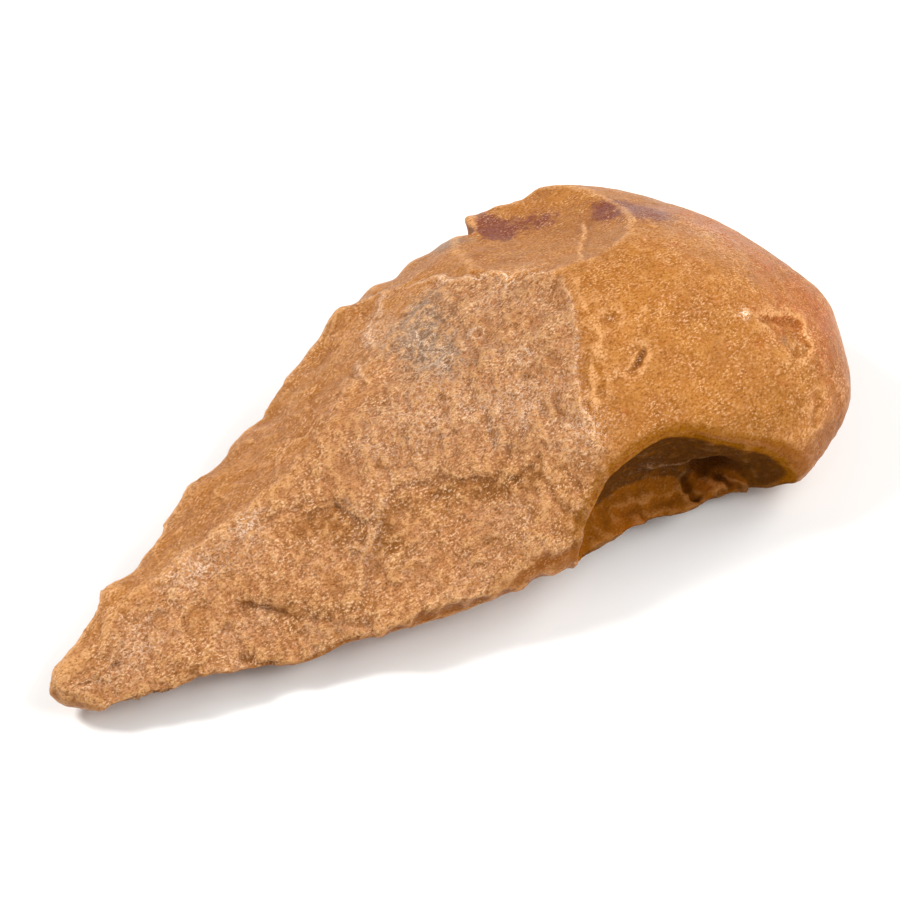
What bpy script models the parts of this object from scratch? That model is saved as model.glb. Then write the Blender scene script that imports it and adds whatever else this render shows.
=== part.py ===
"""A pointed stone hand axe.

A cobble keeps its smooth round butt and is knapped to a point. The cobble is a sphere reshaped to the axe's rim and
domes. Every flake scar is a shallow bowl cut out of it, the rim is trimmed by small bites, and one side of the butt
holds a deep hollow. Metres, +Z up, point towards -X, underside on z = 0.
"""

import math
import random

import bmesh
import bpy
import numpy as np
from mathutils import Euler, Matrix, Vector, noise

# Driving sizes
LENGTH = 0.165
WIDTH = 0.081
THICKNESS = 0.042
SIZE = Vector((LENGTH, WIDTH, THICKNESS))

# The cobble's rim, from the point round by the far side: places as shares of SIZE
RIM = (
    (-0.487, 0.008, 0.20),
    (-0.424, 0.054, 0.25),
    (-0.285, 0.182, 0.31),
    (-0.145, 0.300, 0.36),
    (0.012, 0.435, 0.43),
    (0.135, 0.455, 0.50),
    (0.255, 0.503, 0.57),
    (0.340, 0.463, 0.60),
    (0.421, 0.320, 0.58),
    (0.476, 0.110, 0.52),
    (0.500, -0.136, 0.44),
    (0.480, -0.310, 0.38),
    (0.430, -0.463, 0.33),
    (0.345, -0.517, 0.29),
    (0.242, -0.498, 0.28),
    (0.133, -0.466, 0.27),
    (0.030, -0.437, 0.26),
    (-0.091, -0.397, 0.26),
    (-0.218, -0.322, 0.21),
    (-0.352, -0.228, 0.18),
    (-0.450, -0.152, 0.125),
    (-0.500, -0.078, 0.14),
)
SPINE = (-0.12, 0.27)  # the stretch of the length under which the domes are highest
SPINE_SIDE = -0.06
NEAR_CROWN_FULLNESS = 1.85  # 2 is an ellipse, more is fuller
FAR_CROWN_FULLNESS = 1.40
NEAR_BELLY_FULLNESS = 3.0
FAR_BELLY_FULLNESS = 2.3
BELLY_DEPTH = 0.03  # how far the uncut belly reaches below the rest face, as a share of THICKNESS
RIM_STEPS = 96
DOME_STEPS = 30
ON_POLE = 1e-6

# Flake scars: centre as shares of SIZE, bearing it faces and dip in degrees, then down and across the dip its hollow
# radii and how far its cutting block reaches
WHOLE = (0.060, 0.060)
UPPER_SCARS = {
    "far_flank": ((-0.210, 0.169, 0.427), 125, 29.1, (1.0, 1.0), WHOLE),
    "crown": ((0.109, 0.075, 0.850), 152, 19.5, (0.30, 0.30), WHOLE),
    "near_shoulder": ((0.023, -0.157, 0.733), -147, 25.2, (0.40, 0.15), WHOLE),
    "near_flank": ((-0.195, -0.170, 0.386), -121, 31.3, (0.10, 0.10), WHOLE),
    "near_belt": ((-0.065, -0.282, 0.436), -123, 40.2, (0.060, 0.050), WHOLE),
    "near_corner": ((0.069, -0.397, 0.513), -103, 57.0, (0.08, 0.05), (0.030, 0.030)),
    "point_rear": ((-0.256, -0.270, 0.206), -137, 14.0, (0.030, 0.080), (0.006, 0.014)),
    "point_near": ((-0.422, -0.116, 0.212), -123, 30.2, (0.10, 0.10), WHOLE),
    "point_shoulder": ((-0.327, -0.068, 0.345), -127, 27.1, (0.10, 0.10), WHOLE),
    "far_butt": ((0.235, 0.263, 0.745), 86, 23.0, (0.15, 0.06), WHOLE),
    "far_dent": ((0.090, 0.400, 0.607), 96, 37.8, (0.15, 0.07), WHOLE),
}
SCAR_STEP = 0.006  # spacing of the points that shape a scar
FEWEST_STEPS = 6
CUT_HEIGHT = 0.140  # more than any bowl's own rise

# Underside scars: turns round the rim, and the thickness left there; each is struck from there to the belly
UNDER_SCARS = (
    (0.110, 0.0012),
    (0.185, 0.0012),
    (0.245, 0.0012),
    (0.310, 0.0012),
    (0.645, 0.0050),
    (0.720, 0.0012),
    (0.775, 0.0012),
    (0.830, 0.0012),
    (0.890, 0.0012),
)
UNDER_RUN = 0.55  # how far in towards the spine such a scar runs
UNDER_HOLLOW = 0.070
UNDER_REACH = (0.026, 0.026)

# The hollow in the near side of the butt
HOLLOW_SIZE = Vector((0.048, 0.025, 0.0385))
HOLLOW_PLACE = (0.195, -0.472, 0.238)
HOLLOW_TURN = -12
HOLLOW_DROOP = 0.33  # how much lower its roof is towards the butt
FLOOR_DROP = 0.0045  # how far its floor lies below its middle
FLOOR_SLOPE = 0.35  # down towards the outside
FLOOR_TILT = -0.18  # down towards the butt
FLOOR_LUMP_PLACE = Vector((0.007, 0.005, -0.004))  # from the middle of the hollow
FLOOR_LUMP_RADIUS = 0.005
FLOOR_LUMP_HEIGHT = 0.004

# The tooth at the far rim stands beside a small deep bite
TOOTH_BITE_PLACE = (0.208, 0.492, 0.571)
TOOTH_BITE_RADIUS = 0.0045

# Unevenness of every struck face and of the cobble's skin
WAVE_LENGTH = 0.017
WAVE_HEIGHT = 0.0005
WAVE_SHIFT = Vector((7.3, 2.9, 5.1))  # between one face's waves and the next one's

# Small bites along the knapped rim
BITE_PITCH = 0.0055
BITE_RADIUS = 0.0056
BITE_OUT = 0.0034
BITE_DOWN = 0.0025
FAR_RIM = (0.03, 0.35)
NEAR_RIM = (0.66, 0.93)
BITE_SCATTER = 0.3  # along the rim, as a share of the pitch
BITE_SIZE_SPREAD = 0.2
BITE_OUT_SPREAD = 0.15
TANGENT_STEP = 0.003  # turns round the rim either side of a place, to find its direction there

SHARP_ANGLE = 14  # degrees between faces over which an edge is shaded sharp
STONE_COLOUR = (0.49, 0.22, 0.055, 1.0)


def clear_scene():
    for obj in list(bpy.data.objects):
        bpy.data.objects.remove(obj, do_unlink=True)


def collection(name):
    made = bpy.data.collections.new(name)
    bpy.context.scene.collection.children.link(made)
    return made


def add_object(name, bm, into):
    mesh = bpy.data.meshes.new(name)
    bm.to_mesh(mesh)
    bm.free()
    obj = bpy.data.objects.new(name, mesh)
    into.objects.link(obj)
    return obj


def smooth_rim(per_span=12):
    """A closed Catmull-Rom curve through RIM, and the share of its length at each of its points."""
    points = np.array(RIM) * np.array(SIZE)
    count = len(points)
    rows = []
    for i in range(count):
        a, b, c, d = (points[(i + k) % count] for k in (-1, 0, 1, 2))
        for t in np.arange(per_span) / per_span:
            rows.append(b + 0.5 * t * (c - a + t * (2 * a - 5 * b + 4 * c - d + t * (3 * (b - c) + d - a))))
    rows.append(rows[0])
    curve = np.array(rows)
    run = np.concatenate([[0], np.cumsum(np.linalg.norm(np.diff(curve, axis=0), axis=1))])
    return curve, run


RIM_CURVE, RIM_RUN = smooth_rim()


def rim_point(turn):
    return Vector([np.interp(turn % 1 * RIM_RUN[-1], RIM_RUN, RIM_CURVE[:, axis]) for axis in range(3)])


def spine_point(rim):
    """The point of the spine that a point of the rim is measured from."""
    return Vector((min(max(rim.x, SPINE[0] * LENGTH), SPINE[1] * LENGTH), SPINE_SIDE * WIDTH, 0))


def pebble_point(unit):
    """Moves a point of the unit sphere onto the cobble."""
    rim = rim_point(math.atan2(unit.y, unit.x) / math.tau)
    spread = math.hypot(unit.x, unit.y)
    middle = Vector((sum(SPINE) / 2 * LENGTH, SPINE_SIDE * WIDTH, 0))
    spine = spine_point(rim) if spread > ON_POLE else middle
    place = spine.lerp(rim, spread)
    side = 0.5 - 0.5 * unit.y / max(spread, ON_POLE)
    crown = FAR_CROWN_FULLNESS + (NEAR_CROWN_FULLNESS - FAR_CROWN_FULLNESS) * side
    belly = FAR_BELLY_FULLNESS + (NEAR_BELLY_FULLNESS - FAR_BELLY_FULLNESS) * side
    fullness = crown if unit.z > 0 else belly
    rise = max(0.0, 1 - spread**fullness) ** (1 / fullness)
    pole = THICKNESS if unit.z > 0 else -BELLY_DEPTH * THICKNESS
    place.z = rim.z + (pole - rim.z) * rise
    return place + unit * wave(place, 0)


def cobble(into):
    bm = bmesh.new()
    bmesh.ops.create_uvsphere(bm, u_segments=RIM_STEPS, v_segments=DOME_STEPS, radius=1)
    for vert in bm.verts:
        vert.co = pebble_point(vert.co)
    bmesh.ops.recalc_face_normals(bm, faces=bm.faces[:])
    return add_object("hand_axe", bm, into)


def wave(place, seed):
    """Gentle unevenness at a place, different for each seed."""
    return WAVE_HEIGHT * noise.noise(place / WAVE_LENGTH + WAVE_SHIFT * seed)


def bowl_block(name, hollow, reach, into):
    """A block over a shallow bowl, with the bowl's radii and the block's half sizes down and across the dip."""
    bm = bmesh.new()
    steps = [max(FEWEST_STEPS, round(2 * half / SCAR_STEP)) for half in reach]
    bmesh.ops.create_grid(bm, x_segments=steps[0], y_segments=steps[1], size=1)
    seed = len(into.objects) + 1
    for vert in bm.verts:
        vert.co.x *= reach[0]
        vert.co.y *= reach[1]
        vert.co.z = vert.co.x**2 / (2 * hollow[0]) + vert.co.y**2 / (2 * hollow[1]) + wave(vert.co, seed)
    lid = bmesh.ops.extrude_face_region(bm, geom=bm.faces[:])["geom"]
    for part in lid:
        if isinstance(part, bmesh.types.BMVert):
            part.co.z = CUT_HEIGHT
    bmesh.ops.recalc_face_normals(bm, faces=bm.faces[:])
    return add_object(name, bm, into)


def strike_upper_scars(into):
    for name, (centre, bearing, dip, hollow, reach) in UPPER_SCARS.items():
        block = bowl_block(name, hollow, reach, into)
        block.location = Vector(centre) * SIZE
        block.rotation_euler = Euler((0, math.radians(dip), math.radians(bearing)))


def strike_under_scars(into):
    """Each runs from just under the rim to the belly's level, along a line towards the spine."""
    for count, (turn, edge) in enumerate(UNDER_SCARS):
        rim = rim_point(turn)
        outer = rim - Vector((0, 0, edge))
        inner = rim.lerp(spine_point(rim), UNDER_RUN)
        inner.z = 0
        run = outer - inner
        level = math.hypot(run.x, run.y)
        sag = run.length_squared / (8 * UNDER_HOLLOW)
        block = bowl_block(f"under_{count}", (UNDER_HOLLOW, UNDER_HOLLOW), UNDER_REACH, into)
        block.rotation_euler = Euler((0, math.pi - math.atan2(run.z, level), math.atan2(run.y, run.x)))
        block.location = (outer + inner) / 2 - block.rotation_euler.to_matrix() @ Vector((0, 0, sag))


def scoop_hollow(into):
    bm = bmesh.new()
    bmesh.ops.create_icosphere(bm, subdivisions=4, radius=0.5)
    for vert in bm.verts:
        vert.co = vert.co * HOLLOW_SIZE
        vert.co.z -= max(vert.co.x, 0) * HOLLOW_DROOP
        lump = (vert.co - FLOOR_LUMP_PLACE).length / FLOOR_LUMP_RADIUS
        floor = vert.co.x * FLOOR_TILT + vert.co.y * FLOOR_SLOPE - FLOOR_DROP
        floor += FLOOR_LUMP_HEIGHT * math.exp(-lump * lump)
        vert.co.z = max(vert.co.z, floor)
    scoop = add_object("hollow", bm, into)
    scoop.location = Vector(HOLLOW_PLACE) * SIZE
    scoop.rotation_euler.z = math.radians(HOLLOW_TURN)


def bite_rim(into):
    chance = random.Random(3)
    for side, (start, end) in {"far": FAR_RIM, "near": NEAR_RIM}.items():
        count = round((end - start) * RIM_RUN[-1] / BITE_PITCH)
        for i in range(count):
            place = i + 0.5 + chance.uniform(-BITE_SCATTER, BITE_SCATTER)
            turn = start + (end - start) * place / count
            rim = rim_point(turn)
            along = rim_point(turn + TANGENT_STEP) - rim_point(turn - TANGENT_STEP)
            out = Vector((-along.y, along.x, 0)).normalized()
            bm = bmesh.new()
            radius = BITE_RADIUS * (1 + chance.uniform(-BITE_SIZE_SPREAD, BITE_SIZE_SPREAD))
            bmesh.ops.create_icosphere(bm, subdivisions=2, radius=radius)
            bite = add_object(f"bite_{side}_{i}", bm, into)
            reach = BITE_OUT * (1 + chance.uniform(-BITE_OUT_SPREAD, BITE_OUT_SPREAD))
            bite.location = rim + out * reach - Vector((0, 0, BITE_DOWN))


def bite_tooth(into):
    bm = bmesh.new()
    bmesh.ops.create_icosphere(bm, subdivisions=3, radius=TOOTH_BITE_RADIUS)
    bite = add_object("tooth_bite", bm, into)
    bite.location = Vector(TOOTH_BITE_PLACE) * SIZE


def rest_cut(into):
    """The block under the rest face."""
    bm = bmesh.new()
    bmesh.ops.create_cube(bm, size=1)
    block = add_object("rest_cut", bm, into)
    block.scale = (2 * LENGTH, 2 * WIDTH, THICKNESS)
    block.location = (0, 0, -THICKNESS / 2)


def stone_material():
    material = bpy.data.materials.new("quartzite")
    material.use_nodes = True
    shader = material.node_tree.nodes["Principled BSDF"]
    shader.inputs["Base Color"].default_value = STONE_COLOUR
    shader.inputs["Roughness"].default_value = 0.5
    shader.inputs["Metallic"].default_value = 0.0
    return material


def cut_stone(stone, cutters):
    """Takes every cutter off the stone, and keeps the result as the stone's own mesh."""
    cut = stone.modifiers.new("flakes", "BOOLEAN")
    cut.operation = "DIFFERENCE"
    cut.operand_type = "COLLECTION"
    cut.collection = cutters
    cut.solver = "EXACT"
    graph = bpy.context.evaluated_depsgraph_get()
    stone.data = bpy.data.meshes.new_from_object(stone.evaluated_get(graph))
    stone.data.name = stone.name
    stone.modifiers.clear()


def centre_over_origin(stone, cutters):
    corners = np.array(stone.bound_box)
    middle = (corners.min(axis=0) + corners.max(axis=0)) / 2
    shift = Vector((-middle[0], -middle[1], 0))
    stone.data.transform(Matrix.Translation(shift))
    for block in cutters.objects:
        block.location += shift


def build():
    clear_scene()
    parts = collection("stone_hand_axe")
    cutters = collection("cutters")
    stone = cobble(parts)
    strike_upper_scars(cutters)
    strike_under_scars(cutters)
    scoop_hollow(cutters)
    bite_rim(cutters)
    bite_tooth(cutters)
    rest_cut(cutters)
    cut_stone(stone, cutters)
    centre_over_origin(stone, cutters)
    for block in cutters.objects:
        block.hide_render = True
        block.display_type = "WIRE"
    stone.data.shade_smooth()
    stone.data.set_sharp_from_angle(angle=math.radians(SHARP_ANGLE))
    stone.data.materials.clear()
    stone.data.materials.append(stone_material())


build()
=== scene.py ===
# A knapped quartzite hand axe with a smooth cobble butt, lying on a pale floor
import math

import bmesh
import bpy
import numpy as np
from mathutils import Matrix, Vector


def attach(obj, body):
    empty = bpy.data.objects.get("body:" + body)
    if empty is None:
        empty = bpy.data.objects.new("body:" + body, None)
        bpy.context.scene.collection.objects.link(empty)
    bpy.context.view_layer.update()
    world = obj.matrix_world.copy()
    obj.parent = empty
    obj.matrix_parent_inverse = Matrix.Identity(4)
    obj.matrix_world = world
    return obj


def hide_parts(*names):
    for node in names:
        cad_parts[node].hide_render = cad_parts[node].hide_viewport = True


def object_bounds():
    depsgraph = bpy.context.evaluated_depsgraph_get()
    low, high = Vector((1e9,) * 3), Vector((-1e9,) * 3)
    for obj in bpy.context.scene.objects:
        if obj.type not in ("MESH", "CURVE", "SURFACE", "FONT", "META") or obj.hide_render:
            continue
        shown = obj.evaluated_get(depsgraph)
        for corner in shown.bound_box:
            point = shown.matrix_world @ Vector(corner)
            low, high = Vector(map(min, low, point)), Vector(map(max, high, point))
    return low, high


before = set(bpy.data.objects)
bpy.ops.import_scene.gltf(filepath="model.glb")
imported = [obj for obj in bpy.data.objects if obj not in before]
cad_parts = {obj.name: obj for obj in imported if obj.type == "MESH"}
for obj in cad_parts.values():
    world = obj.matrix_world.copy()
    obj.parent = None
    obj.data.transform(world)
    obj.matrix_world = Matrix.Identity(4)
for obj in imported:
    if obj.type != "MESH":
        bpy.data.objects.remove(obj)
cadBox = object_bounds()
print("frame loaded")


def linear(hexColour):
    # sRGB to linear: c / 12.92 near black, otherwise ((c + 0.055) / 1.055) ^ 2.4
    channels = [int(hexColour[i:i + 2], 16) / 255 for i in (1, 3, 5)]
    return [c / 12.92 if c <= 0.04045 else ((c + 0.055) / 1.055) ** 2.4 for c in channels] + [1.0]


def addNode(tree, kind, inputs=None, output=0, **settings):
    # each input takes a constant or another node's output
    node = tree.nodes.new(kind)
    for name, value in settings.items():
        setattr(node, name, value)
    for key, value in (inputs or {}).items():
        if isinstance(value, bpy.types.NodeSocket):
            tree.links.new(value, node.inputs[key])
        else:
            node.inputs[key].default_value = value
    return node.outputs[output] if len(node.outputs) else node


# Shapes over the stone's skin: all lengths in mm, and each function gives one value for each vertex

def smoothStep(low, high, values):
    # 3t^2 - 2t^3, with t the share of the way from low to high; low may be the larger of the two
    share = np.clip((values - low) / (high - low), 0, 1)
    return share * share * (3 - 2 * share)


def gradientNoise(points, size, seed):
    # at each corner of a unit lattice a random direction; the dot products of the eight corners round a
    # point, blended with 6t^5 - 15t^4 + 10t^3 along each axis and brought to about -1..1
    draw = np.random.default_rng(seed)
    order = draw.permutation(256)
    arrows = draw.normal(size=(256, 3))
    arrows /= np.linalg.norm(arrows, axis=1)[:, None]
    place = points / size + draw.uniform(0, 64, 3)
    cell = np.floor(place).astype(int)
    inside = place - cell
    blend = inside ** 3 * (inside * (inside * 6 - 15) + 10)
    total = np.zeros(len(points))
    for corner in np.ndindex(2, 2, 2):
        at = cell + corner
        key = order[(order[(order[at[:, 0] & 255] + at[:, 1]) & 255] + at[:, 2]) & 255]
        weight = np.prod(np.where(corner, blend, 1 - blend), axis=1)
        total += weight * np.einsum("ij,ij->i", arrows[key], inside - corner)
    return total * 1.7


def layeredNoise(points, size, seed, layers=3, fade=0.5):
    # each layer is half the size of the one before and weaker by fade
    return sum(fade ** k * gradientNoise(points, size / 2 ** k, seed + k) for k in range(layers))


def ridgedNoise(points, size, seed):
    # 1 - 2|n|: sharp crests where the noise n passes through zero
    return 1 - 2 * np.abs(gradientNoise(points, size, seed))


def vectorNoise(points, size, seed):
    # a noise of its own along each axis
    return np.stack([gradientNoise(points, size, seed + k) for k in range(3)], axis=1)


def chipFacets(points, size, slope, seed):
    # one seed at a random place in each cell of a lattice: every vertex lies on the random little plane of
    # the nearest seed in its own cell and the 26 around it
    draw = np.random.default_rng(seed)
    low = points.min(axis=0) - 2 * size
    counts = np.ceil((points.max(axis=0) + 2 * size - low) / size).astype(int)
    seeds = draw.uniform(0.1, 0.9, (*counts, 3))
    tilts = draw.normal(size=(*counts, 3)) * slope
    place = (points - low) / size
    cell = np.floor(place).astype(int)
    best = np.full(len(points), np.inf)
    rise = np.zeros(len(points))
    for step in np.ndindex(3, 3, 3):
        at = cell + np.array(step) - 1
        x, y, z = at.T
        offset = (place - at - seeds[x, y, z]) * size
        gap = np.linalg.norm(offset, axis=1)
        closer = gap < best
        best[closer] = gap[closer]
        rise[closer] = np.einsum("ij,ij->i", offset, tilts[x, y, z])[closer]
    return rise


def distanceToLine(points, line):
    # the shortest distance to any piece of an open line, and the share of its length where that is
    line = np.array(line, float)
    lengths = np.linalg.norm(np.diff(line, axis=0), axis=1)
    starts = np.concatenate([[0], np.cumsum(lengths)])
    best = np.full(len(points), np.inf)
    along = np.zeros(len(points))
    for i, length in enumerate(lengths):
        step = (line[i + 1] - line[i]) / length
        run = np.clip((points - line[i]) @ step, 0, length)
        gap = np.linalg.norm(points - line[i] - run[:, None] * step, axis=1)
        closer = gap < best
        best[closer] = gap[closer]
        along[closer] = (starts[i] + run[closer]) / starts[-1]
    return best, along


def blob(points, centre, radii):
    # a bell exp(-r^2) over an upright ellipsoid, with r the distance in radii
    return np.exp(-(((points - np.array(centre)) / np.array(radii)) ** 2).sum(axis=1))


def vertexNormals(points, quads):
    # the cross products of the diagonals of a vertex's quads, added up and made one long
    across = np.cross(points[quads[:, 2]] - points[quads[:, 0]], points[quads[:, 3]] - points[quads[:, 1]])
    normals = np.zeros_like(points)
    for axis in range(3):
        for corner in range(4):
            normals[:, axis] += np.bincount(quads[:, corner], across[:, axis], len(points))
    return normals / np.maximum(np.linalg.norm(normals, axis=1), 1e-9)[:, None]


def evenOut(values, edges, rounds, share=0.5):
    # each round moves every vertex by share towards the mean of its neighbours
    values = np.array(values, float)
    flat = values.reshape(len(values), -1)
    ends = np.concatenate([edges[:, 0], edges[:, 1]])
    others = np.concatenate([edges[:, 1], edges[:, 0]])
    count = np.bincount(ends, minlength=len(flat))[:, None]
    share = np.broadcast_to(np.asarray(share, float).reshape(-1, 1), (len(flat), 1))
    for _ in range(rounds):
        sums = [np.bincount(ends, flat[others, k], len(flat)) for k in range(flat.shape[1])]
        flat = flat + share * (np.stack(sums, axis=1) / count - flat)
    return flat.reshape(values.shape)


def meshArrays(mesh):
    # vertices in mm, the corners of the quads and the ends of the edges
    points = np.empty(len(mesh.vertices) * 3, np.float32)
    mesh.vertices.foreach_get("co", points)
    edges = np.empty(len(mesh.edges) * 2, np.int32)
    mesh.edges.foreach_get("vertices", edges)
    quads = np.empty(len(mesh.loops), np.int32)
    mesh.loops.foreach_get("vertex_index", quads)
    return points.reshape(-1, 3).astype(float) * 1000, quads.reshape(-1, 4), edges.reshape(-1, 2)


def remeshed(node, voxel):
    # an even skin of quads over the CAD node's own form
    copy = node.data.copy()
    builder = bmesh.new()
    builder.from_mesh(copy)
    bmesh.ops.remove_doubles(builder, verts=builder.verts, dist=1e-7)
    builder.to_mesh(copy)
    builder.free()
    helper = bpy.data.objects.new("remeshHelper", copy)
    bpy.context.scene.collection.objects.link(helper)
    remesh = helper.modifiers.new("remesh", "REMESH")
    remesh.mode = "VOXEL"
    remesh.voxel_size = voxel / 1000
    skin = bpy.data.meshes.new_from_object(helper.evaluated_get(bpy.context.evaluated_depsgraph_get()))
    bpy.data.objects.remove(helper)
    return skin


# the ways in which the low side of a crack may face
near, left, right, far = (-0.5, -0.8, -0.3), (-0.8, -0.2, 0), (0.8, -0.4, 0), (0.2, 0.95, 0)

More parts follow.
